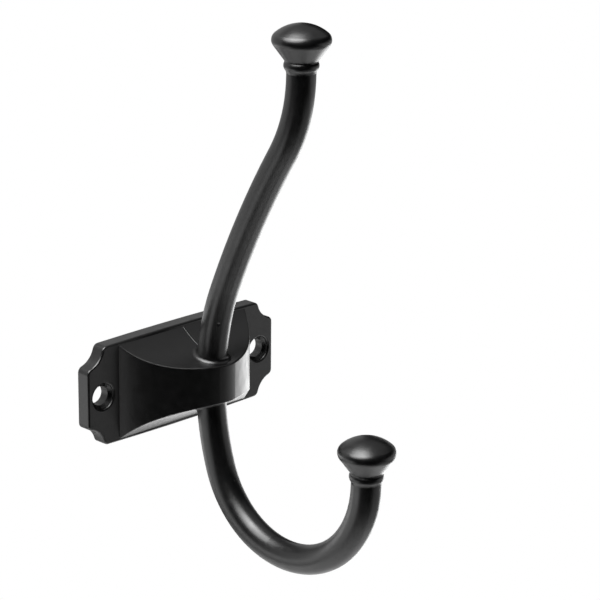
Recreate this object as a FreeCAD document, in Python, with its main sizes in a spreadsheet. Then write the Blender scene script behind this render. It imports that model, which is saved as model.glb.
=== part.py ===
"""Double robe hook: one casting of a scooped wall plate, a waisted bracket and a rod with two finials.

Frame: millimetres, +Z up, the wall is the plane y = 0, and the hook stands out towards -Y.
The origin is the middle of the plate's back face, and the whole casting is symmetric about x = 0.
"""
import FreeCAD, Part
import Sketcher

import math
import os

from FreeCAD import Vector

# Driving dimensions, in millimetres and degrees.
SIZES = {
    "plate_length": 71.0,
    "plate_height": 29.0,
    "plate_thickness": 4.3,
    "edge_bow": 0.35,
    "corner_scoop": 5.7,
    "scoop_radius": 6.2,
    "corner_round": 1.8,
    "plate_edge_round": 0.6,
    "hole_inset": 5.5,
    "screw_hole_diameter": 5.6,
    "countersink_diameter": 8.8,
    "countersink_angle": 90.0,
    "foot_clearance": 1.35,
    "flank_radius": 39.0,
    "nose_radius": 8.9,
    "nose_cover": 3.15,
    "nose_height": 11.1,
    "nose_rise": 1.6,
    "top_hollow_radius": 28.9,
    "bottom_hollow_radius": 36.0,
    "bracket_edge_round": 0.4,
    "rod_standoff": 15.85,
    "upper_root_diameter": 8.9,
    "upper_rod_diameter": 8.0,
    "lower_rod_diameter": 8.4,
    "rod_root_round": 1.2,
    "waist_bend_radius": 76.5,
    "upper_waist_angle": 23.0,
    "lower_waist_angle": 18.55,
    "lean_bend_radius": 282.0,
    "lean_angle": 9.6,
    "crook_bend_radius": 43.6,
    "cup_back_radius": 27.8,
    "cup_back_angle": 61.6,
    "cup_front_radius": 30.25,
    "rod_neck_length": 0.3,
    "finial_seat": 0.8,
    "finial_diameter": 16.0,
    "finial_edge_round": 2.3,
    "dome_height": 4.4,
    "cone_height": 5.5,
    "finial_neck_inset": 0.275,
    "finial_neck_height": 0.3,
    "bead_overhang": 0.575,
    "bead_round": 1.8,
    "bead_lap": 0.2,
    "bead_root_round": 1.4,
}

# How a sketch counts the points of a curve, and its own two axes, the first of which starts at its root.
START, END, CENTRE = range(1, 4)
H_AXIS, V_AXIS = range(-1, -3, -1)
ROOT = H_AXIS

doc = FreeCAD.newDocument("robe_hook")
sheet = doc.addObject("Spreadsheet::Sheet", "Sizes")
for row, (name, value) in enumerate(SIZES.items(), start=1):
    sheet.set(f"A{row}", name)
    sheet.set(f"B{row}", str(value))
    sheet.setAlias(f"B{row}", name)
doc.recompute()


def size(name):
    """A driving dimension, as the sheet holds it."""
    return float(sheet.get(name))


# Sizes that follow from the driving ones, each with the expression that binds it to the sheet.
HALF_LENGTH = "Sizes.plate_length / 2"
HALF_HEIGHT = "Sizes.plate_height / 2"
HOLE_X = "(Sizes.plate_length / 2 - Sizes.hole_inset)"
FOOT_X = f"({HOLE_X} - Sizes.countersink_diameter / 2 - Sizes.foot_clearance)"
NOSE_REACH = "(Sizes.rod_standoff + Sizes.lower_rod_diameter / 2 + Sizes.nose_cover)"
FOOT_Z = "(Sizes.plate_height / 2 - Sizes.plate_edge_round)"
NOSE_TOP = "(Sizes.nose_rise + Sizes.nose_height / 2)"
NOSE_BOTTOM = "(Sizes.nose_height / 2 - Sizes.nose_rise)"
BEAD_RADIUS = "(max(Sizes.upper_rod_diameter; Sizes.lower_rod_diameter) / 2 + Sizes.bead_overhang)"

hole_x = size("plate_length") / 2 - size("hole_inset")
foot_x = hole_x - size("countersink_diameter") / 2 - size("foot_clearance")
nose_reach = size("rod_standoff") + size("lower_rod_diameter") / 2 + size("nose_cover")
foot_z = size("plate_height") / 2 - size("plate_edge_round")
nose_top = size("nose_rise") + size("nose_height") / 2
nose_bottom = size("nose_height") / 2 - size("nose_rise")
bead_radius = max(size("upper_rod_diameter"), size("lower_rod_diameter")) / 2 + size("bead_overhang")

body = doc.addObject("PartDesign::Body", "RobeHook")
body.Label = "robe_hook"


def sketch_on(role, name):
    """A sketch on one of the body's origin planes."""
    plane = next(item for item in body.Origin.OriginFeatures if item.Role == role)
    sketch = body.newObject("Sketcher::SketchObject", name)
    sketch.AttachmentSupport = (plane, [""])
    sketch.MapMode = "FlatFace"
    return sketch


def line(sketch, start, end):
    """A straight line between two points."""
    return sketch.addGeometry(Part.LineSegment(Vector(*start, 0), Vector(*end, 0)), False)


def arc(sketch, centre, radius, first, last):
    """An arc about a centre, anticlockwise between two angles in radians."""
    circle = Part.Circle(Vector(*centre, 0), Vector(0, 0, 1), radius)
    return sketch.addGeometry(Part.ArcOfCircle(circle, first, last), False)


def arc_through(sketch, start, end, radius):
    """The shorter arc of a given radius, anticlockwise from start to end."""
    chord = (end[0] - start[0], end[1] - start[1])
    length = math.hypot(*chord)
    rise = math.sqrt(radius ** 2 - length ** 2 / 4)
    centre = (
        (start[0] + end[0]) / 2 - chord[1] / length * rise,
        (start[1] + end[1]) / 2 + chord[0] / length * rise,
    )
    first = math.atan2(start[1] - centre[1], start[0] - centre[0])
    last = math.atan2(end[1] - centre[1], end[0] - centre[0])
    if last < first:
        last += 2 * math.pi
    return arc(sketch, centre, radius, first, last)


def rule(sketch, *terms):
    """A geometric constraint."""
    return sketch.addConstraint(Sketcher.Constraint(*terms))


def dimension(sketch, kind, *terms, value, formula):
    """A dimension that the sheet drives through a formula."""
    index = rule(sketch, kind, *terms, value)
    sketch.setExpression(f"Constraints[{index}]", formula)
    return index


def place(sketch, geometry, point, x, y, x_formula, y_formula):
    """Both coordinates of a point, measured from the sketch's root."""
    dimension(sketch, "DistanceX", ROOT, START, geometry, point, value=x, formula=x_formula)
    dimension(sketch, "DistanceY", ROOT, START, geometry, point, value=y, formula=y_formula)


def feature(kind, name, sketch):
    """A feature made from a sketch."""
    made = body.newObject(f"PartDesign::{kind}", name)
    made.Profile = sketch
    sketch.Visibility = False
    return made


def rounded(name, base, keep, radius):
    """A fillet on those edges of a feature that a test keeps."""
    doc.recompute()
    edges = [f"Edge{i}" for i, edge in enumerate(base.Shape.Edges, start=1) if keep(edge)]
    fillet = body.newObject("PartDesign::Fillet", name)
    fillet.Base = (base, edges)
    fillet.setExpression("Radius", f"Sizes.{radius}")
    doc.recompute()
    return fillet


def samples(edge, count=7):
    """Points spread along an edge, both ends included."""
    first, last = edge.ParameterRange
    return [edge.valueAt(first + (last - first) * i / (count - 1)) for i in range(count)]


TOUCH = 1e-4


def wall_plate():
    """The plate: slightly bowed long edges, straight ends and a scooped corner at each end of them."""
    sketch = sketch_on("XZ_Plane", "PlateOutline")
    scoop = size("corner_scoop")
    bow = size("edge_bow")
    x_end = size("plate_length") / 2
    z_edge = size("plate_height") / 2
    x_run = x_end - scoop
    z_run = z_edge - scoop
    bow_radius = (x_run ** 2 + bow ** 2) / (2 * bow)
    right = line(sketch, (x_end, -z_run), (x_end, z_run))
    upper_right = arc_through(sketch, (x_run, z_edge), (x_end, z_run), size("scoop_radius"))
    top = arc_through(sketch, (x_run, z_edge), (-x_run, z_edge), bow_radius)
    upper_left = arc_through(sketch, (-x_end, z_run), (-x_run, z_edge), size("scoop_radius"))
    left = line(sketch, (-x_end, z_run), (-x_end, -z_run))
    lower_left = arc_through(sketch, (-x_run, -z_edge), (-x_end, -z_run), size("scoop_radius"))
    bottom = arc_through(sketch, (-x_run, -z_edge), (x_run, -z_edge), bow_radius)
    lower_right = arc_through(sketch, (x_end, -z_run), (x_run, -z_edge), size("scoop_radius"))
    joints = [
        (right, END, upper_right, END), (upper_right, START, top, START),
        (top, END, upper_left, END), (upper_left, START, left, START),
        (left, END, lower_left, END), (lower_left, START, bottom, START),
        (bottom, END, lower_right, END), (lower_right, START, right, START),
    ]
    for joint in joints:
        rule(sketch, "Coincident", *joint)
    rule(sketch, "Symmetric", right, START, right, END, H_AXIS)
    rule(sketch, "Symmetric", top, START, top, END, V_AXIS)
    rule(sketch, "Symmetric", left, START, right, END, V_AXIS)
    rule(sketch, "Symmetric", left, END, right, START, V_AXIS)
    rule(sketch, "Symmetric", bottom, START, top, END, H_AXIS)
    rule(sketch, "Symmetric", bottom, END, top, START, H_AXIS)
    run = f"{HALF_LENGTH} - Sizes.corner_scoop"
    place(sketch, right, END, x_end, z_run, HALF_LENGTH, f"{HALF_HEIGHT} - Sizes.corner_scoop")
    place(sketch, top, START, x_run, z_edge, run, HALF_HEIGHT)
    dimension(sketch, "Radius", upper_right, value=size("scoop_radius"), formula="Sizes.scoop_radius")
    for other in (upper_left, lower_left, lower_right):
        rule(sketch, "Equal", upper_right, other)
    bow_formula = f"(({run})^2 + Sizes.edge_bow^2) / (2 * Sizes.edge_bow)"
    dimension(sketch, "Radius", top, value=bow_radius, formula=bow_formula)
    rule(sketch, "Equal", top, bottom)

    plate = feature("Pad", "Plate", sketch)
    plate.setExpression("Length", "Sizes.plate_thickness")

    def runs_through(edge):
        first, last = edge.Vertexes[0].Point, edge.Vertexes[-1].Point
        return abs(first.y - last.y) > TOUCH and abs(first.x - last.x) + abs(first.z - last.z) < TOUCH

    def on_front(edge):
        return all(abs(p.y + size("plate_thickness")) < TOUCH for p in samples(edge))

    corners = rounded("PlateCorners", plate, runs_through, "corner_round")
    return rounded("PlateFrontEdge", corners, on_front, "plate_edge_round")


def bracket():
    """The bracket: convex flanks that meet in a round nose, hollowed above and below towards the nose."""
    plan = sketch_on("XY_Plane", "BracketPlan")
    front = size("plate_thickness")
    nose_radius = size("nose_radius")
    flank_radius = size("flank_radius")
    nose_centre = (0.0, nose_radius - nose_reach)
    # The right flank's centre is flank_radius from the foot and flank_radius - nose_radius from the nose's.
    to_foot = (foot_x - nose_centre[0], -front - nose_centre[1])
    gap = math.hypot(*to_foot)
    along = ((flank_radius - nose_radius) ** 2 - flank_radius ** 2 + gap ** 2) / (2 * gap)
    aside = math.sqrt((flank_radius - nose_radius) ** 2 - along ** 2)
    flank_centre = (
        nose_centre[0] + (to_foot[0] * along - to_foot[1] * aside) / gap,
        nose_centre[1] + (to_foot[1] * along + to_foot[0] * aside) / gap,
    )
    touch_angle = math.atan2(nose_centre[1] - flank_centre[1], nose_centre[0] - flank_centre[0])
    foot_angle = math.atan2(-front - flank_centre[1], foot_x - flank_centre[0])
    right_flank = arc(plan, flank_centre, flank_radius, touch_angle, foot_angle)
    nose = arc(plan, nose_centre, nose_radius, -math.pi - touch_angle, touch_angle)
    left_centre = (-flank_centre[0], flank_centre[1])
    left_flank = arc(plan, left_centre, flank_radius, -math.pi - foot_angle, -math.pi - touch_angle)
    right_root = line(plan, (foot_x, -front), (foot_x, -front / 2))
    back = line(plan, (foot_x, -front / 2), (-foot_x, -front / 2))
    left_root = line(plan, (-foot_x, -front / 2), (-foot_x, -front))
    rule(plan, "Tangent", left_flank, END, nose, START)
    rule(plan, "Tangent", nose, END, right_flank, START)
    rule(plan, "Coincident", right_flank, END, right_root, START)
    rule(plan, "Coincident", right_root, END, back, START)
    rule(plan, "Coincident", back, END, left_root, START)
    rule(plan, "Coincident", left_root, END, left_flank, START)
    rule(plan, "Vertical", right_root)
    rule(plan, "Symmetric", left_root, START, right_root, END, V_AXIS)
    rule(plan, "Symmetric", left_root, END, right_root, START, V_AXIS)
    rule(plan, "PointOnObject", nose, CENTRE, V_AXIS)
    rule(plan, "Equal", left_flank, right_flank)
    dimension(plan, "Radius", right_flank, value=flank_radius, formula="Sizes.flank_radius")
    dimension(plan, "Radius", nose, value=nose_radius, formula="Sizes.nose_radius")
    dimension(plan, "DistanceY", ROOT, START, nose, CENTRE, value=nose_centre[1],
              formula=f"Sizes.nose_radius - {NOSE_REACH}")
    place(plan, right_flank, END, foot_x, -front, FOOT_X, "-Sizes.plate_thickness")
    dimension(plan, "DistanceY", ROOT, START, back, START, value=-front / 2,
              formula="-Sizes.plate_thickness / 2")
    block = feature("Pad", "BracketBlock", plan)
    block.SideType = "Symmetric"
    block.setExpression("Length", f"2 * {FOOT_Z}")
    doc.recompute()

    # Seen from the side, the hollows run from the plate's front to just past the nose.
    side = sketch_on("YZ_Plane", "BracketHollows")
    hollow(side, 1, nose_top, NOSE_TOP, "top_hollow_radius")
    hollow(side, -1, nose_bottom, NOSE_BOTTOM, "bottom_hollow_radius")
    hollows = feature("Pocket", "Hollows", side)
    hollows.SideType = "Symmetric"
    hollows.setExpression("Length", "Sizes.plate_length")

    def on_rim(edge):
        points = samples(edge)
        upright = max(p.z for p in points) - min(p.z for p in points) > TOUCH
        level = max(p.x for p in points) - min(p.x for p in points) < TOUCH
        in_front = all(p.y < -size("plate_thickness") + TOUCH for p in points)
        leaves_plate = any(p.y < -size("plate_thickness") - TOUCH for p in points)
        return in_front and leaves_plate and not (upright and level)

    return rounded("BracketEdges", hollows, on_rim, "bracket_edge_round")


def hollow(side, sign, nose_z, nose_formula, radius):
    """One hollow of the bracket in the side view, from plate to nose: above with sign 1, below with -1."""
    front = -size("plate_thickness")
    past = size("nose_cover")
    mark = "" if sign > 0 else "-"
    foot = (front, sign * foot_z)
    tip = (-nose_reach, sign * nose_z)
    clear = (-nose_reach - past, sign * nose_z)
    far = (-nose_reach - past, sign * (foot_z + past))
    near = (front, sign * (foot_z + past))
    ends = (tip, foot) if sign > 0 else (foot, tip)
    sweep = arc_through(side, *ends, size(radius))
    tip_point, foot_point = (START, END) if sign > 0 else (END, START)
    ledge = line(side, tip, clear)
    outer = line(side, clear, far)
    lid = line(side, far, near)
    inner = line(side, near, foot)
    rule(side, "Coincident", sweep, tip_point, ledge, START)
    rule(side, "Coincident", ledge, END, outer, START)
    rule(side, "Coincident", outer, END, lid, START)
    rule(side, "Coincident", lid, END, inner, START)
    rule(side, "Coincident", inner, END, sweep, foot_point)
    rule(side, "Horizontal", ledge)
    rule(side, "Vertical", outer)
    rule(side, "Horizontal", lid)
    rule(side, "Vertical", inner)
    place(side, sweep, foot_point, *foot, "-Sizes.plate_thickness", f"{mark}{FOOT_Z}")
    place(side, sweep, tip_point, *tip, f"-{NOSE_REACH}", f"{mark}{nose_formula}")
    place(side, lid, START, *far, f"-{NOSE_REACH} - Sizes.nose_cover",
          f"{mark}({FOOT_Z} + Sizes.nose_cover)")
    dimension(side, "Radius", sweep, value=size(radius), formula=f"Sizes.{radius}")


def rod_section(name, diameter):
    """The rod's round section, where it passes the plate's mid height upright."""
    sketch = sketch_on("XY_Plane", name)
    middle = Vector(0, -size("rod_standoff"), 0)
    circle = sketch.addGeometry(Part.Circle(middle, Vector(0, 0, 1), size(diameter) / 2), False)
    rule(sketch, "PointOnObject", circle, CENTRE, V_AXIS)
    dimension(sketch, "DistanceY", ROOT, START, circle, CENTRE, value=middle.y,
              formula="-Sizes.rod_standoff")
    dimension(sketch, "Diameter", circle, value=size(diameter), formula=f"Sizes.{diameter}")
    return sketch


def waist_arc(sketch, turn, sign):
    """The first arc of the rod, upright where it leaves the plate's mid height, turning forward."""
    radius = size("waist_bend_radius")
    centre = (-size("rod_standoff") - radius, 0.0)
    angle = math.radians(size(turn))
    first, last = (0.0, angle) if sign > 0 else (-angle, 0.0)
    waist = arc(sketch, centre, radius, first, last)
    begin = START if sign > 0 else END
    rule(sketch, "PointOnObject", waist, begin, H_AXIS)
    rule(sketch, "PointOnObject", waist, CENTRE, H_AXIS)
    dimension(sketch, "DistanceX", ROOT, START, waist, begin, value=-size("rod_standoff"),
              formula="-Sizes.rod_standoff")
    dimension(sketch, "Radius", waist, value=radius, formula="Sizes.waist_bend_radius")
    dimension(sketch, "Angle", waist, value=angle, formula=f"Sizes.{turn}")
    finish = (centre[0] + radius * math.cos(angle), sign * radius * math.sin(angle))
    return waist, finish


def neck(sketch, bend, tip):
    """The rod's short upright end on top of its last bend, whose tip is measured for the finial."""
    rule(sketch, "Horizontal", bend, START, bend, CENTRE)
    length = size("finial_seat") + size("bead_round") + size("rod_neck_length")
    top = (tip[0], tip[1] + length)
    end = line(sketch, tip, top)
    rule(sketch, "Coincident", bend, START, end, START)
    rule(sketch, "Vertical", end)
    dimension(sketch, "Distance", end, value=length,
              formula="Sizes.finial_seat + Sizes.bead_round + Sizes.rod_neck_length")
    for kind, label in (("DistanceX", "tip_y"), ("DistanceY", "tip_z")):
        index = rule(sketch, kind, ROOT, START, end, END, top[0] if kind == "DistanceX" else top[1])
        sketch.setDriving(index, False)
        sketch.renameConstraint(index, label)


def upper_rod():
    """The tall prong: leaning forward from a thicker root, then bent back upright under its finial."""
    path = sketch_on("YZ_Plane", "UpperPath")
    waist, (y, z) = waist_arc(path, "upper_waist_angle", 1)
    turn = math.radians(size("upper_waist_angle"))
    full_turn = turn + math.radians(size("lean_angle"))
    radius = size("lean_bend_radius")
    centre = (y - radius * math.cos(turn), z - radius * math.sin(turn))
    lean = arc(path, centre, radius, turn, full_turn)
    rule(path, "Tangent", waist, END, lean, START)
    dimension(path, "Radius", lean, value=radius, formula="Sizes.lean_bend_radius")
    dimension(path, "Angle", lean, value=full_turn - turn, formula="Sizes.lean_angle")
    crook_radius = size("crook_bend_radius")
    reach = radius + crook_radius
    centre = (centre[0] + reach * math.cos(full_turn), centre[1] + reach * math.sin(full_turn))
    crook = arc(path, centre, crook_radius, math.pi, math.pi + full_turn)
    rule(path, "Tangent", lean, END, crook, END)
    dimension(path, "Radius", crook, value=crook_radius, formula="Sizes.crook_bend_radius")
    neck(path, crook, (centre[0] - crook_radius, centre[1]))
    # The root thins along the waist bend, up to a section turned about the bend's centre.
    root = rod_section("UpperRootSection", "upper_root_diameter")
    section = rod_section("UpperSection", "upper_rod_diameter")
    arm = size("rod_standoff") + size("waist_bend_radius")
    section.AttachmentOffset = FreeCAD.Placement(
        Vector(0, -arm * (1 - math.cos(turn)), arm * math.sin(turn)),
        FreeCAD.Rotation(Vector(1, 0, 0), size("upper_waist_angle")),
    )
    arm_formula = "(Sizes.rod_standoff + Sizes.waist_bend_radius)"
    bend = "Sizes.upper_waist_angle * 1 deg"
    section.setExpression(".AttachmentOffset.Base.y", f"-{arm_formula} * (1 - cos({bend}))")
    section.setExpression(".AttachmentOffset.Base.z", f"{arm_formula} * sin({bend})")
    section.setExpression(".AttachmentOffset.Rotation.Angle", bend)
    swept("UpperRoot", path, ["Edge1"], root, section)
    return swept("UpperRod", path, ["Edge2", "Edge3", "Edge4"], section)


def lower_rod():
    """The cup hook: leaning forward below the bracket and curling round to an upright tip."""
    path = sketch_on("YZ_Plane", "LowerPath")
    waist, (y, z) = waist_arc(path, "lower_waist_angle", -1)
    turn = math.radians(size("lower_waist_angle"))
    full_turn = turn + math.radians(size("cup_back_angle"))
    radius = size("cup_back_radius")
    centre = (y - radius * math.cos(turn), z + radius * math.sin(turn))
    back = arc(path, centre, radius, -full_turn, -turn)
    rule(path, "Tangent", waist, START, back, END)
    dimension(path, "Radius", back, value=radius, formula="Sizes.cup_back_radius")
    dimension(path, "Angle", back, value=full_turn - turn, formula="Sizes.cup_back_angle")
    front_radius = size("cup_front_radius")
    shift = radius - front_radius
    centre = (centre[0] + shift * math.cos(full_turn), centre[1] - shift * math.sin(full_turn))
    front = arc(path, centre, front_radius, -math.pi, -full_turn)
    rule(path, "Tangent", back, START, front, END)
    dimension(path, "Radius", front, value=front_radius, formula="Sizes.cup_front_radius")
    neck(path, front, (centre[0] - front_radius, centre[1]))
    return swept("LowerRod", path, ["Edge1", "Edge2", "Edge3", "Edge4"],
                 rod_section("LowerSection", "lower_rod_diameter"))


def swept(name, path, edges, section, last_section=None):
    """A round rod along some edges of a path, which may end in another section."""
    doc.recompute()
    rod = feature("AdditivePipe", name, section)
    rod.Spine = (path, edges)
    if last_section:
        rod.Transformation = "Multisection"
        rod.Sections = [last_section]
    path.Visibility = False
    doc.recompute()
    return rod


def rod_roots(base):
    """The fillets where the rod leaves the bracket's hollows."""
    limit = size("lower_rod_diameter") / 2 + size("nose_cover") / 2

    def on_root(edge):
        faces = base.Shape.ancestorsOfType(edge, Part.Face)
        hollows = [face for face in faces if isinstance(face.Surface, Part.Cylinder)]
        across = [face for face in hollows if abs(face.Surface.Axis.x) > 1 - TOUCH]
        near = all(math.hypot(p.x, p.y + size("rod_standoff")) < limit for p in samples(edge))
        return len(across) == 1 and near

    return rounded("RodRoots", base, on_root, "rod_root_round")


def finial(name, path, diameter):
    """A turned finial round the rod's upright end: bead, neck, cone, round equator and shallow dome.

    Its sketch stands on the level of the bead's middle, and the bead's foot is lapped by the rod.
    """
    sketch = sketch_on("YZ_Plane", f"{name}Profile")
    sketch.setExpression(".AttachmentOffset.Base.x", f"{path}.Constraints.tip_y")
    sketch.setExpression(".AttachmentOffset.Base.y", f"{path}.Constraints.tip_z - Sizes.finial_seat * 1 mm")
    bead_round = size("bead_round")
    bead_centre = bead_radius - bead_round
    bead_foot = size(diameter) / 2 - size("bead_lap")
    neck_radius = bead_radius - size("finial_neck_inset")
    foot_angle = -math.acos((bead_foot - bead_centre) / bead_round)
    neck_angle = math.acos((neck_radius - bead_centre) / bead_round)
    bead_bottom = bead_round * math.sin(foot_angle)
    bead_top = bead_round * math.sin(neck_angle)
    neck_top = bead_top + size("finial_neck_height")
    # The cone leaves the neck and touches the equator's round.
    equator_round = size("finial_edge_round")
    equator_centre = size("finial_diameter") / 2 - equator_round
    equator_z = neck_top + size("cone_height")
    run, rise = equator_centre - neck_radius, size("cone_height")
    slope = math.atan2(rise, run) - math.asin(equator_round / math.hypot(run, rise))
    cone_angle = slope - math.pi / 2
    cone_end = (
        equator_centre + equator_round * math.cos(cone_angle),
        equator_z + equator_round * math.sin(cone_angle),
    )
    # The dome's centre is on the axis, and its arc touches the equator's round from outside.
    height = size("dome_height")
    apex = equator_z + height
    dome_radius = (equator_centre ** 2 + height ** 2 - equator_round ** 2) / (2 * (height - equator_round))
    dome_z = apex - dome_radius
    dome_angle = math.atan2(equator_z - dome_z, equator_centre)
    foot = line(sketch, (0, bead_bottom), (bead_foot, bead_bottom))
    bead = arc(sketch, (bead_centre, 0), bead_round, foot_angle, neck_angle)
    neck_side = line(sketch, (neck_radius, bead_top), (neck_radius, neck_top))
    cone = line(sketch, (neck_radius, neck_top), cone_end)
    equator = arc(sketch, (equator_centre, equator_z), equator_round, cone_angle, dome_angle)
    dome = arc(sketch, (0, dome_z), dome_radius, dome_angle, math.pi / 2)
    axis = line(sketch, (0, apex), (0, bead_bottom))
    rule(sketch, "Horizontal", foot)
    rule(sketch, "Coincident", foot, END, bead, START)
    rule(sketch, "PointOnObject", bead, CENTRE, H_AXIS)
    rule(sketch, "Coincident", bead, END, neck_side, START)
    rule(sketch, "Vertical", neck_side)
    rule(sketch, "Coincident", neck_side, END, cone, START)
    rule(sketch, "Tangent", cone, END, equator, START)
    rule(sketch, "Tangent", equator, END, dome, START)
    rule(sketch, "PointOnObject", dome, CENTRE, V_AXIS)
    rule(sketch, "Coincident", dome, END, axis, START)
    rule(sketch, "Coincident", axis, END, foot, START)
    rule(sketch, "PointOnObject", axis, END, V_AXIS)
    rule(sketch, "Vertical", axis)
    dimension(sketch, "Radius", bead, value=bead_round, formula="Sizes.bead_round")
    dimension(sketch, "DistanceX", ROOT, START, bead, CENTRE, value=bead_centre,
              formula=f"{BEAD_RADIUS} - Sizes.bead_round")
    dimension(sketch, "DistanceX", ROOT, START, bead, START, value=bead_foot,
              formula=f"Sizes.{diameter} / 2 - Sizes.bead_lap")
    dimension(sketch, "DistanceX", ROOT, START, neck_side, START, value=neck_radius,
              formula=f"{BEAD_RADIUS} - Sizes.finial_neck_inset")
    dimension(sketch, "Distance", neck_side, value=neck_top - bead_top, formula="Sizes.finial_neck_height")
    dimension(sketch, "Radius", equator, value=equator_round, formula="Sizes.finial_edge_round")
    dimension(sketch, "DistanceX", ROOT, START, equator, CENTRE, value=equator_centre,
              formula="Sizes.finial_diameter / 2 - Sizes.finial_edge_round")
    dimension(sketch, "DistanceY", cone, START, equator, CENTRE, value=rise, formula="Sizes.cone_height")
    dimension(sketch, "DistanceY", equator, CENTRE, axis, START, value=height, formula="Sizes.dome_height")
    turned = feature("Revolution", name, sketch)
    turned.ReferenceAxis = (sketch, ["V_Axis"])
    turned.Angle = 360.0
    doc.recompute()
    middle = sketch.Placement.Base

    def under_bead(edge):
        points = samples(edge)
        on_rod = all(abs(math.hypot(p.x, p.y - middle.y) - size(diameter) / 2) < TOUCH for p in points)
        return on_rod and all(bead_bottom - TOUCH < p.z - middle.z < 0 for p in points)

    return rounded(f"{name}Root", turned, under_bead, "bead_root_round")


def screw_holes():
    """Two countersunk screw holes on the plate's middle line."""
    sketch = sketch_on("XZ_Plane", "ScrewPlaces")
    sketch.setExpression(".AttachmentOffset.Base.z", "Sizes.plate_thickness")
    radius = size("screw_hole_diameter") / 2
    for sign, formula in ((1, HOLE_X), (-1, f"-{HOLE_X}")):
        middle = Vector(sign * hole_x, 0, 0)
        circle = sketch.addGeometry(Part.Circle(middle, Vector(0, 0, 1), radius), False)
        rule(sketch, "PointOnObject", circle, CENTRE, H_AXIS)
        dimension(sketch, "DistanceX", ROOT, START, circle, CENTRE, value=middle.x, formula=formula)
        dimension(sketch, "Radius", circle, value=radius, formula="Sizes.screw_hole_diameter / 2")
    doc.recompute()
    holes = feature("Hole", "ScrewHoles", sketch)
    doc.recompute()
    holes.DepthType = "ThroughAll"
    holes.HoleCutType = "Countersink"
    holes.HoleCutCustomValues = True
    holes.DrillPoint = "Flat"
    holes.setExpression("Diameter", "Sizes.screw_hole_diameter")
    holes.setExpression("HoleCutDiameter", "Sizes.countersink_diameter")
    holes.setExpression("HoleCutCountersinkAngle", "Sizes.countersink_angle")
    doc.recompute()
    return holes


def check_and_export():
    """Stops on any failed feature or faulty solid, then writes the casting."""
    for item in doc.Objects:
        if "Invalid" in item.State or "Error" in item.State:
            raise RuntimeError(f"{item.Name} failed: {item.State}")
    shape = body.Shape
    if shape.isNull() or not shape.isValid() or len(shape.Solids) != 1:
        raise RuntimeError(f"{body.Label} is not one valid solid")
    os.makedirs("parts", exist_ok=True)
    shape.exportStep(os.path.join("parts", f"{body.Label}.step"))
    box = shape.BoundBox
    spans = f"{box.XLength:.2f} x {box.YLength:.2f} x {box.ZLength:.2f} mm"
    print(f"{body.Label}: {spans}, {shape.Volume:.0f} mm3")


wall_plate()
bracket()
upper_rod()
rod_roots(lower_rod())
finial("UpperFinial", "UpperPath", "upper_rod_diameter")
finial("LowerFinial", "LowerPath", "lower_rod_diameter")
screw_holes()
check_and_export()
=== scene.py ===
"""Looks of the double robe hook: its satin black coat, a white studio and the photograph's view."""
import math

import bmesh
import bpy
from bpy.props import FloatProperty, FloatVectorProperty, PointerProperty
from mathutils import Matrix, Vector


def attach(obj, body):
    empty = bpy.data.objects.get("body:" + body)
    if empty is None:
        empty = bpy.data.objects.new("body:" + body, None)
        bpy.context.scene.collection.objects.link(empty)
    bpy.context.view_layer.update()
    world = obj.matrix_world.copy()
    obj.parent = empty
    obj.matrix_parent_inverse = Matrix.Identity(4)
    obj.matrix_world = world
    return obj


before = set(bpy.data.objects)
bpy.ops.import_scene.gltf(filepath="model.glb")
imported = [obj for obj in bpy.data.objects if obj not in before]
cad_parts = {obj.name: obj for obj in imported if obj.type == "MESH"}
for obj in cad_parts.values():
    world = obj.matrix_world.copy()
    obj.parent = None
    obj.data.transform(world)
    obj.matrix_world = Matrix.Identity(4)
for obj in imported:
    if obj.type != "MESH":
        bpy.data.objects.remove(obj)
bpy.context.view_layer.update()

bl_info = {
    "name": "Double Robe Hook",
    "version": (1, 0, 0),
    "blender": (4, 5, 0),
    "location": "3D View > Sidebar > Robe Hook",
    "description": "Dresses the cast double robe hook and sets up its studio",
    "category": "Object",
}

MM = 0.001

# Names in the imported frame, and the name of the coat's own material.
NODE = "robe_hook"
BODY = "root"
COAT_MATERIAL = "satin_black"

# Patterns of the coat: repeats in a metre, and levels of finer detail.
MOTTLE_SCALE = 160.0
MOTTLE_DETAIL = 3.0
FLOW_SCALE = 420.0
FLOW_DETAIL = 4.0
PEEL_SCALE = 1400.0
PEEL_DETAIL = 2.0
# The gloss goes from smooth to dull over this middle part of the flow pattern.
FLOW_LOW = 0.3
FLOW_HIGH = 0.7
# Dust lies in cells: cells in a metre, a speck's core and soft edge in cells, and the share left clean.
DUST_SCALE = 220.0
DUST_CORE = 0.014
DUST_EDGE = 0.038
DUST_CLEAN_SHARE = 0.8

# Sides of the round sections and steps of the spins.
RIDGE_SIDES = 12
RIDGE_STEPS = 16
LIP_SIDES = 24
LIP_STEPS = 72
FLOOR_SIDES = 96
MERGE_DISTANCE = 0.0001 * MM

FLOOR_ROUGHNESS = 0.9
# Share of the floor's radius inside which it doesn't fade.
FLOOR_SOLID_SHARE = 0.45

# Watts per square metre of a softbox for a brightness of 1, which is white.
WHITE_WATTS = math.pi
HOOK_MIDDLE = Vector((0.0, -0.04, 0.03))
AT_HOOK = None
UP = Vector((0.0, 0.0, 1.0))
TO_LEFT = Vector((-1.0, 0.0, 0.0))
TO_RIGHT = Vector((1.0, 0.0, 0.0))
TO_FRONT = Vector((0.0, -1.0, 0.0))

# Side of the photograph in pixels, and width of the camera's sensor in millimetres.
IMAGE_SIDE = 600.0
SENSOR = 36.0


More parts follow.
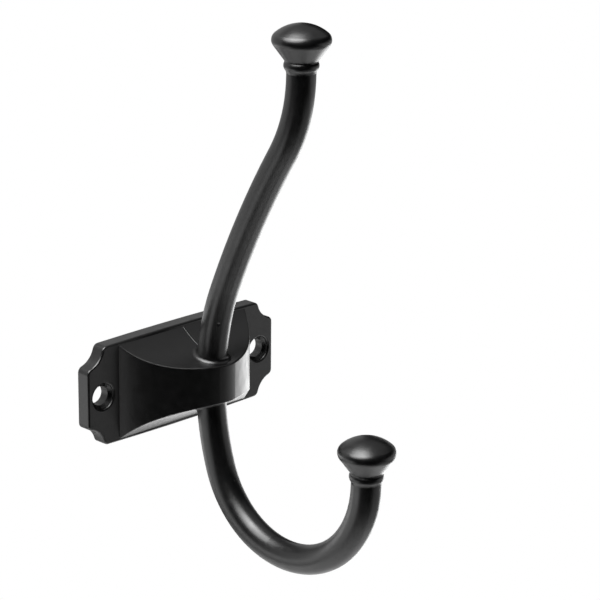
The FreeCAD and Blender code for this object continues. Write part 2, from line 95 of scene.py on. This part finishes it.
class RobeHookCoat(bpy.types.PropertyGroup):
    """The satin black coat on the casting."""

    deep: FloatVectorProperty(
        name="Deep Black", description="Darkest black of the coat",
        subtype="COLOR", min=0.0, max=1.0, default=(0.0012, 0.0012, 0.0013),
    )
    soft: FloatVectorProperty(
        name="Soft Black", description="Palest black of the coat",
        subtype="COLOR", min=0.0, max=1.0, default=(0.0026, 0.0026, 0.0028),
    )
    speck: FloatVectorProperty(
        name="Speck Colour", description="Colour of the few specks of dust under the coat",
        subtype="COLOR", min=0.0, max=1.0, default=(0.12, 0.12, 0.12),
    )
    ior: FloatProperty(
        name="Index of Refraction", description="How strongly the coat mirrors",
        min=1.0, max=3.0, default=1.75,
    )
    smooth: FloatProperty(
        name="Smooth Roughness", description="Roughness where the coat flowed best",
        subtype="FACTOR", min=0.0, max=1.0, default=0.29,
    )
    dull: FloatProperty(
        name="Dull Roughness", description="Roughness where the coat is dullest",
        subtype="FACTOR", min=0.0, max=1.0, default=0.37,
    )
    peel: FloatProperty(
        name="Peel Depth", description="Depth of the coat's fine orange peel",
        subtype="DISTANCE", unit="LENGTH", default=0.012 * MM,
    )
    pit_place: FloatVectorProperty(
        name="Pit Place", description="Where the coat has a small pit, on the upper rod",
        size=3, subtype="TRANSLATION", unit="LENGTH", default=(-2.5 * MM, -21.7 * MM, 19.3 * MM),
    )
    pit_radius: FloatProperty(
        name="Pit Radius", description="Radius of the pit",
        subtype="DISTANCE", unit="LENGTH", default=0.6 * MM,
    )
    pit_depth: FloatProperty(
        name="Pit Depth", description="Depth of the pit",
        subtype="DISTANCE", unit="LENGTH", default=0.1 * MM,
    )


class RobeHookSeam(bpy.types.PropertyGroup):
    """The mould's parting line, a fine ridge over the bracket's top hollow."""

    width: FloatProperty(
        name="Ridge Width", description="Across the ridge",
        subtype="DISTANCE", unit="LENGTH", default=0.36 * MM,
    )
    height: FloatProperty(
        name="Ridge Height", description="How far the ridge stands out",
        subtype="DISTANCE", unit="LENGTH", default=0.08 * MM,
    )
    hollow_radius: FloatProperty(
        name="Hollow Radius", description="Radius of the bracket's top hollow",
        subtype="DISTANCE", unit="LENGTH", default=28.9 * MM,
    )
    hollow_axis: FloatVectorProperty(
        name="Hollow Axis", description="Where the top hollow's axis passes the middle plane",
        size=3, subtype="TRANSLATION", unit="LENGTH", default=(0.0, -22.866 * MM, 36.048 * MM),
    )
    start: FloatProperty(
        name="Ridge Start", description="From the wall to the ridge's end at the plate",
        subtype="DISTANCE", unit="LENGTH", default=4.2 * MM,
    )
    end: FloatProperty(
        name="Ridge End", description="From the wall to the ridge's end at the rod",
        subtype="DISTANCE", unit="LENGTH", default=11.4 * MM,
    )


class RobeHookLips(bpy.types.PropertyGroup):
    """The rounded lips of the two countersunk screw holes."""

    across: FloatProperty(
        name="Lip Diameter", description="Across the countersink at the plate's face",
        subtype="DISTANCE", unit="LENGTH", default=8.8 * MM,
    )
    rounding: FloatProperty(
        name="Lip Round", description="Radius of the lip's rounding",
        subtype="DISTANCE", unit="LENGTH", default=0.7 * MM,
    )
    proud: FloatProperty(
        name="Lip Stand", description="How far the lip stands out of the plate's face",
        subtype="DISTANCE", unit="LENGTH", default=0.02 * MM,
    )
    spacing: FloatProperty(
        name="Hole Spacing", description="From one screw hole to the other",
        subtype="DISTANCE", unit="LENGTH", default=60.0 * MM,
    )
    face: FloatProperty(
        name="Plate Face", description="From the wall to the plate's face",
        subtype="DISTANCE", unit="LENGTH", default=4.3 * MM,
    )


class RobeHookStudio(bpy.types.PropertyGroup):
    """The studio round the hook. A brightness of 1 is white."""

    room: FloatProperty(
        name="Room", description="Brightness of the dark room",
        min=0.0, default=0.003,
    )
    key: FloatProperty(
        name="Key Softbox", description="Brightness of the softbox over the left side",
        min=0.0, default=4.6,
    )
    core: FloatProperty(
        name="Key Core", description="What the key softbox's hot core adds",
        min=0.0, default=4.5,
    )
    glow: FloatProperty(
        name="Low Softbox", description="Brightness of the softbox low on the right",
        min=0.0, default=2.9,
    )
    ceiling: FloatProperty(
        name="Ceiling", description="Brightness of the pale ceiling",
        min=0.0, default=0.26,
    )
    front: FloatProperty(
        name="Front Card", description="Brightness of the card low in front",
        min=0.0, default=0.35,
    )
    end: FloatProperty(
        name="End Card", description="Brightness of the card low at the back left",
        min=0.0, default=0.35,
    )
    back: FloatProperty(
        name="Back Card", description="Brightness of the wide card behind",
        min=0.0, default=0.5,
    )
    heel: FloatProperty(
        name="Heel Card", description="Brightness of the small card close behind",
        min=0.0, default=1.1,
    )
    left: FloatProperty(
        name="Left Card", description="Brightness of the card on the left",
        min=0.0, default=0.8,
    )
    right: FloatProperty(
        name="Right Card", description="Brightness of the long card on the right",
        min=0.0, default=0.47,
    )
    floor_colour: FloatVectorProperty(
        name="Floor Colour", description="Colour of the pale floor",
        subtype="COLOR", min=0.0, max=1.0, default=(0.8, 0.8, 0.8),
    )
    floor_depth: FloatProperty(
        name="Floor Depth", description="How far the floor lies under the plate's middle",
        subtype="DISTANCE", unit="LENGTH", default=250.0 * MM,
    )
    floor_radius: FloatProperty(
        name="Floor Radius", description="Radius of the round floor",
        subtype="DISTANCE", unit="LENGTH", default=340.0 * MM,
    )


class RobeHookView(bpy.types.PropertyGroup):
    """The photograph's view of the hook."""

    azimuth: FloatProperty(
        name="Azimuth", description="Turn of the camera about the hook",
        subtype="ANGLE", unit="ROTATION", default=math.radians(-45.13),
    )
    elevation: FloatProperty(
        name="Elevation", description="Height of the camera over the horizon",
        subtype="ANGLE", unit="ROTATION", default=math.radians(17.797),
    )
    roll: FloatProperty(
        name="Roll", description="Turn of the camera about its own axis",
        subtype="ANGLE", unit="ROTATION", default=math.radians(0.527),
    )
    distance: FloatProperty(
        name="Distance", description="From the plate's back to the camera, along the view",
        subtype="DISTANCE", unit="LENGTH", default=730.29 * MM,
    )
    lens: FloatProperty(
        name="Lens", description="Focal length on a sensor 36 mm wide",
        subtype="DISTANCE_CAMERA", unit="CAMERA", default=152.6245,
    )
    origin_pixel: FloatVectorProperty(
        name="Origin Pixel", description="Where the middle of the plate's back falls in the picture",
        size=2, default=(173.231, 368.808),
    )


class RobeHookSettings(bpy.types.PropertyGroup):
    """All settings of the robe hook."""

    coat: PointerProperty(type=RobeHookCoat)
    seam: PointerProperty(type=RobeHookSeam)
    lips: PointerProperty(type=RobeHookLips)
    studio: PointerProperty(type=RobeHookStudio)
    view: PointerProperty(type=RobeHookView)


def opaque(colour):
    """A colour as a shader socket takes it."""
    return (*colour, 1.0)


def feed(tree, socket, value):
    """Links a socket to another one, or sets it to a plain value."""
    if isinstance(value, bpy.types.NodeSocket):
        tree.links.new(value, socket)
    else:
        socket.default_value = value


def noise(tree, place, scale, detail):
    """A cloudy pattern over the surface."""
    node = tree.nodes.new("ShaderNodeTexNoise")
    node.inputs["Scale"].default_value = scale
    node.inputs["Detail"].default_value = detail
    tree.links.new(place, node.inputs["Vector"])
    return node.outputs["Fac"]


def distance_from(tree, place, point):
    """How far the surface lies from a point."""
    node = tree.nodes.new("ShaderNodeVectorMath")
    node.operation = "DISTANCE"
    node.inputs[1].default_value = point
    tree.links.new(place, node.inputs[0])
    return node.outputs["Value"]


def remap(tree, value, low, high, at_low, at_high, interpolation="LINEAR"):
    """A value that goes from at_low to at_high while another goes from low to high."""
    node = tree.nodes.new("ShaderNodeMapRange")
    node.interpolation_type = interpolation
    node.inputs["From Min"].default_value = low
    node.inputs["From Max"].default_value = high
    node.inputs["To Min"].default_value = at_low
    node.inputs["To Max"].default_value = at_high
    tree.links.new(value, node.inputs["Value"])
    return node.outputs["Result"]


def reckon(tree, operation, first, second, clamp=False):
    """Two values put together by one operation."""
    node = tree.nodes.new("ShaderNodeMath")
    node.operation = operation
    node.use_clamp = clamp
    feed(tree, node.inputs[0], first)
    feed(tree, node.inputs[1], second)
    return node.outputs["Value"]


def blend_colours(tree, share, first, second):
    """The first colour, with a share of the second over it."""
    node = tree.nodes.new("ShaderNodeMix")
    node.data_type = "RGBA"
    tree.links.new(share, node.inputs["Factor"])
    feed(tree, node.inputs["A"], first)
    feed(tree, node.inputs["B"], second)
    return node.outputs["Result"]


def relief(tree, height, depth, under=None):
    """A bump of some depth, laid over another where one is given."""
    node = tree.nodes.new("ShaderNodeBump")
    node.inputs["Strength"].default_value = 1.0
    node.inputs["Distance"].default_value = depth
    tree.links.new(height, node.inputs["Height"])
    if under is not None:
        tree.links.new(under, node.inputs["Normal"])
    return node.outputs["Normal"]


def dust_specks(tree, place):
    """A mask of small round specks in a few scattered cells."""
    cells = tree.nodes.new("ShaderNodeTexVoronoi")
    cells.inputs["Scale"].default_value = DUST_SCALE
    tree.links.new(place, cells.inputs["Vector"])
    chance = tree.nodes.new("ShaderNodeSeparateColor")
    tree.links.new(cells.outputs["Color"], chance.inputs["Color"])
    chosen = reckon(tree, "GREATER_THAN", chance.outputs["Red"], DUST_CLEAN_SHARE)
    near = remap(tree, cells.outputs["Distance"], DUST_CORE, DUST_EDGE, 1.0, 0.0)
    return reckon(tree, "MULTIPLY", near, chosen)


def black_coat(coat):
    """The satin black coat, made once: mottled, with specks, uneven gloss, orange peel and one pit."""
    material = bpy.data.materials.get(COAT_MATERIAL)
    if material:
        return material
    material = bpy.data.materials.new(COAT_MATERIAL)
    material.use_nodes = True
    tree = material.node_tree
    shader = tree.nodes["Principled BSDF"]
    shader.inputs["IOR"].default_value = coat.ior
    place = tree.nodes.new("ShaderNodeTexCoord").outputs["Object"]

    mottle = noise(tree, place, MOTTLE_SCALE, MOTTLE_DETAIL)
    black = blend_colours(tree, mottle, opaque(coat.deep), opaque(coat.soft))
    dusty = blend_colours(tree, dust_specks(tree, place), black, opaque(coat.speck))
    tree.links.new(dusty, shader.inputs["Base Color"])

    flow = noise(tree, place, FLOW_SCALE, FLOW_DETAIL)
    gloss = remap(tree, flow, FLOW_LOW, FLOW_HIGH, coat.smooth, coat.dull)
    tree.links.new(gloss, shader.inputs["Roughness"])

    away = distance_from(tree, place, coat.pit_place)
    bowl = remap(tree, away, 0.0, coat.pit_radius, 0.0, 1.0, "SMOOTHSTEP")
    pit = relief(tree, bowl, coat.pit_depth)
    peel = relief(tree, noise(tree, place, PEEL_SCALE, PEEL_DETAIL), coat.peel, under=pit)
    tree.links.new(peel, shader.inputs["Normal"])
    return material


class ROBEHOOK_OT_casting(bpy.types.Operator):
    """Coats the casting"""

    bl_idname = "robe_hook.casting"
    bl_label = "Coat the Casting"

    def execute(self, context):
        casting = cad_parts[NODE]
        casting.data.materials.clear()
        casting.data.materials.append(black_coat(context.scene.robe_hook.coat))
        return {"FINISHED"}


def add_coated_piece(scene, name, bm):
    """Closes a mesh, coats it as the casting is coated and lets it ride on the hook."""
    bmesh.ops.remove_doubles(bm, verts=list(bm.verts), dist=MERGE_DISTANCE)
    bmesh.ops.recalc_face_normals(bm, faces=list(bm.faces))
    mesh = bpy.data.meshes.new(name)
    bm.to_mesh(mesh)
    bm.free()
    mesh.shade_smooth()
    mesh.materials.append(black_coat(scene.robe_hook.coat))
    piece = bpy.data.objects.new(name, mesh)
    scene.collection.objects.link(piece)
    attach(piece, BODY)


class ROBEHOOK_OT_seam(bpy.types.Operator):
    """Lays the mould's parting line over the bracket's top hollow"""

    bl_idname = "robe_hook.seam"
    bl_label = "Lay the Parting Line"

    def execute(self, context):
        seam = context.scene.robe_hook.seam
        axis = Vector(seam.hollow_axis)
        half_width = seam.width / 2
        first = -math.acos((-seam.start - axis.y) / seam.hollow_radius)
        last = -math.acos((-seam.end - axis.y) / seam.hollow_radius)
        bm = bmesh.new()
        ring = bmesh.ops.create_circle(
            bm, cap_ends=False, segments=RIDGE_SIDES, radius=half_width,
        )["verts"]
        bmesh.ops.scale(bm, vec=(1.0, seam.height / half_width, 1.0), verts=ring)
        # The flattened ring goes to the ridge's end at the plate, with its outer half sunk in the metal.
        bmesh.ops.translate(bm, vec=(0.0, seam.hollow_radius, 0.0), verts=ring)
        bmesh.ops.rotate(bm, cent=(0.0, 0.0, 0.0), matrix=Matrix.Rotation(first, 3, "X"), verts=ring)
        bmesh.ops.translate(bm, vec=axis, verts=ring)
        bmesh.ops.spin(
            bm, geom=list(bm.edges), cent=axis, axis=(1.0, 0.0, 0.0), angle=last - first,
            steps=RIDGE_STEPS, use_merge=False, use_duplicate=False,
        )
        bmesh.ops.holes_fill(bm, edges=list(bm.edges), sides=0)
        add_coated_piece(context.scene, "parting_line", bm)
        return {"FINISHED"}


class ROBEHOOK_OT_lips(bpy.types.Operator):
    """Rounds the lips of the two screw holes"""

    bl_idname = "robe_hook.lips"
    bl_label = "Round the Screw Hole Lips"

    def execute(self, context):
        lips = context.scene.robe_hook.lips
        depth = lips.rounding - lips.proud - lips.face
        for name, side in (("left", -1.0), ("right", 1.0)):
            middle = Vector((side * lips.spacing / 2, 0.0, 0.0))
            bm = bmesh.new()
            ring = bmesh.ops.create_circle(
                bm, cap_ends=False, segments=LIP_SIDES, radius=lips.rounding,
            )["verts"]
            # A quarter of the ring shows, from the plate's face round to the countersink's cone.
            bmesh.ops.translate(bm, vec=middle + Vector((lips.across / 2, depth, 0.0)), verts=ring)
            bmesh.ops.spin(
                bm, geom=list(bm.edges), cent=middle, axis=(0.0, 1.0, 0.0), angle=math.tau,
                steps=LIP_STEPS, use_merge=True, use_duplicate=False,
            )
            add_coated_piece(context.scene, f"screw_hole_lip_{name}", bm)
        return {"FINISHED"}


def softbox(scene, name, brightness, place, width, height, towards, shape):
    """A softbox or a white card at a place, sending its light in one direction or at the hook."""
    data = bpy.data.lights.new(name, "AREA")
    data.shape = shape
    data.size = width
    data.size_y = height
    area = width * height * (math.pi / 4 if shape == "ELLIPSE" else 1.0)
    data.energy = brightness * WHITE_WATTS * area
    lamp = bpy.data.objects.new(name, data)
    direction = HOOK_MIDDLE - place if towards is AT_HOOK else towards
    facing = (-direction).to_track_quat("Z", "Y").to_matrix().to_4x4()
    lamp.matrix_world = Matrix.Translation(place) @ facing
    lamp.visible_camera = False
    scene.collection.objects.link(lamp)


def white_world(studio):
    """White to the camera and through anything clear, and a dark room to everything else."""
    world = bpy.data.worlds.new("studio")
    world.use_nodes = True
    tree = world.node_tree
    background = tree.nodes["Background"]
    path = tree.nodes.new("ShaderNodeLightPath")
    straight = reckon(tree, "MAXIMUM", path.outputs["Is Camera Ray"], path.outputs["Is Transmission Ray"])
    strength = reckon(tree, "MAXIMUM", straight, studio.room)
    background.inputs["Color"].default_value = (1.0, 1.0, 1.0, 1.0)
    tree.links.new(strength, background.inputs["Strength"])
    return world


def pale_floor(scene, studio):
    """A round pale floor that keeps the hook's shadow, fades at its edge and is clear from below."""
    middle = Vector((0.0, 0.0, -studio.floor_depth))
    bm = bmesh.new()
    disc = bmesh.ops.create_circle(
        bm, cap_ends=True, segments=FLOOR_SIDES, radius=studio.floor_radius,
    )["verts"]
    bmesh.ops.translate(bm, vec=middle, verts=disc)
    mesh = bpy.data.meshes.new("pale_floor")
    bm.to_mesh(mesh)
    bm.free()
    material = bpy.data.materials.new("pale_floor")
    material.use_nodes = True
    tree = material.node_tree
    shader = tree.nodes["Principled BSDF"]
    shader.inputs["Base Color"].default_value = opaque(studio.floor_colour)
    shader.inputs["Roughness"].default_value = FLOOR_ROUGHNESS
    out = distance_from(tree, tree.nodes.new("ShaderNodeTexCoord").outputs["Object"], middle)
    solid_radius = studio.floor_radius * FLOOR_SOLID_SHARE
    solid = remap(tree, out, solid_radius, studio.floor_radius, 1.0, 0.0, "SMOOTHSTEP")
    from_below = tree.nodes.new("ShaderNodeNewGeometry").outputs["Backfacing"]
    tree.links.new(reckon(tree, "SUBTRACT", solid, from_below, clamp=True), shader.inputs["Alpha"])
    mesh.materials.append(material)
    floor = bpy.data.objects.new("pale_floor", mesh)
    scene.collection.objects.link(floor)


def place_camera(scene, view):
    """The camera at the photograph's view of the hook."""
    azimuth, elevation, roll = view.azimuth, view.elevation, view.roll
    back = Vector((
        math.sin(azimuth) * math.cos(elevation),
        -math.cos(azimuth) * math.cos(elevation),
        math.sin(elevation),
    ))
    level = Vector((math.cos(azimuth), math.sin(azimuth), 0.0))
    tilt = back.cross(level)
    right = level * math.cos(roll) + tilt * math.sin(roll)
    up = tilt * math.cos(roll) - level * math.sin(roll)
    pixel = view.distance * SENSOR / (view.lens * IMAGE_SIDE)
    aside = (view.origin_pixel[0] - IMAGE_SIDE / 2) * pixel
    below = (view.origin_pixel[1] - IMAGE_SIDE / 2) * pixel
    place = back * view.distance - right * aside + up * below
    data = bpy.data.cameras.new("photo_camera")
    data.lens = view.lens
    data.sensor_width = SENSOR
    camera = bpy.data.objects.new("photo_camera", data)
    camera.matrix_world = Matrix.Translation(place) @ Matrix((right, up, back)).transposed().to_4x4()
    scene.collection.objects.link(camera)
    scene.camera = camera


class ROBEHOOK_OT_stage(bpy.types.Operator):
    """Sets up the studio and the photograph's camera"""

    bl_idname = "robe_hook.stage"
    bl_label = "Set Up the Studio"

    def execute(self, context):
        scene = context.scene
        studio = scene.robe_hook.studio
        scene.view_settings.view_transform = "Standard"
        scene.world = white_world(studio)
        pale_floor(scene, studio)
        # Places, widths and heights are in metres.
        for name, brightness, place, width, height, towards, shape in (
            ("key_softbox", studio.key, (-0.36, -0.01, 0.75), 0.92, 0.92, AT_HOOK, "ELLIPSE"),
            ("key_core", studio.core, (-0.28, -0.06, 0.74), 0.42, 0.42, AT_HOOK, "ELLIPSE"),
            ("ceiling", studio.ceiling, (0.2, 0.2, 0.77), 1.6, 0.9, AT_HOOK, "RECTANGLE"),
            ("low_softbox", studio.glow, (0.47, 0.15, -0.2), 0.58, 0.38, UP, "RECTANGLE"),
            ("front_card", studio.front, (0.35, -0.18, -0.2), 0.64, 0.67, UP, "RECTANGLE"),
            ("end_card", studio.end, (-0.33, 0.33, -0.2), 0.47, 0.60, UP, "RECTANGLE"),
            ("back_card", studio.back, (-0.14, 0.6, 0.16), 1.56, 0.80, TO_FRONT, "RECTANGLE"),
            ("heel_card", studio.heel, (-0.05, 0.28, -0.12), 0.30, 0.15, TO_FRONT, "RECTANGLE"),
            ("left_card", studio.left, (-0.25, 0.10, -0.12), 0.30, 0.14, TO_RIGHT, "RECTANGLE"),
            ("right_card", studio.right, (0.6, -0.47, -0.1), 1.8, 0.36, TO_LEFT, "RECTANGLE"),
        ):
            softbox(scene, name, brightness, Vector(place), width, height, towards, shape)
        place_camera(scene, scene.robe_hook.view)
        return {"FINISHED"}


class ROBEHOOK_PT_panel(bpy.types.Panel):
    """The robe hook's settings and steps"""

    bl_label = "Double Robe Hook"
    bl_idname = "ROBEHOOK_PT_panel"
    bl_space_type = "VIEW_3D"
    bl_region_type = "UI"
    bl_category = "Robe Hook"

    def draw(self, context):
        settings = context.scene.robe_hook
        for operator, groups in (
            (ROBEHOOK_OT_casting, (settings.coat,)),
            (ROBEHOOK_OT_seam, (settings.seam,)),
            (ROBEHOOK_OT_lips, (settings.lips,)),
            (ROBEHOOK_OT_stage, (settings.studio, settings.view)),
        ):
            box = self.layout.box()
            box.operator(operator.bl_idname)
            for group in groups:
                for name in group.__annotations__:
                    box.prop(group, name)


CLASSES = (
    RobeHookCoat, RobeHookSeam, RobeHookLips, RobeHookStudio, RobeHookView, RobeHookSettings,
    ROBEHOOK_OT_casting, ROBEHOOK_OT_seam, ROBEHOOK_OT_lips, ROBEHOOK_OT_stage, ROBEHOOK_PT_panel,
)


def register():
    for cls in CLASSES:
        bpy.utils.register_class(cls)
    bpy.types.Scene.robe_hook = PointerProperty(type=RobeHookSettings)


def unregister():
    del bpy.types.Scene.robe_hook
    for cls in reversed(CLASSES):
        bpy.utils.unregister_class(cls)


def main():
    register()
    bpy.ops.robe_hook.casting()
    bpy.ops.robe_hook.seam()
    bpy.ops.robe_hook.lips()
    bpy.ops.robe_hook.stage()


if __name__ == "__main__":
    main()
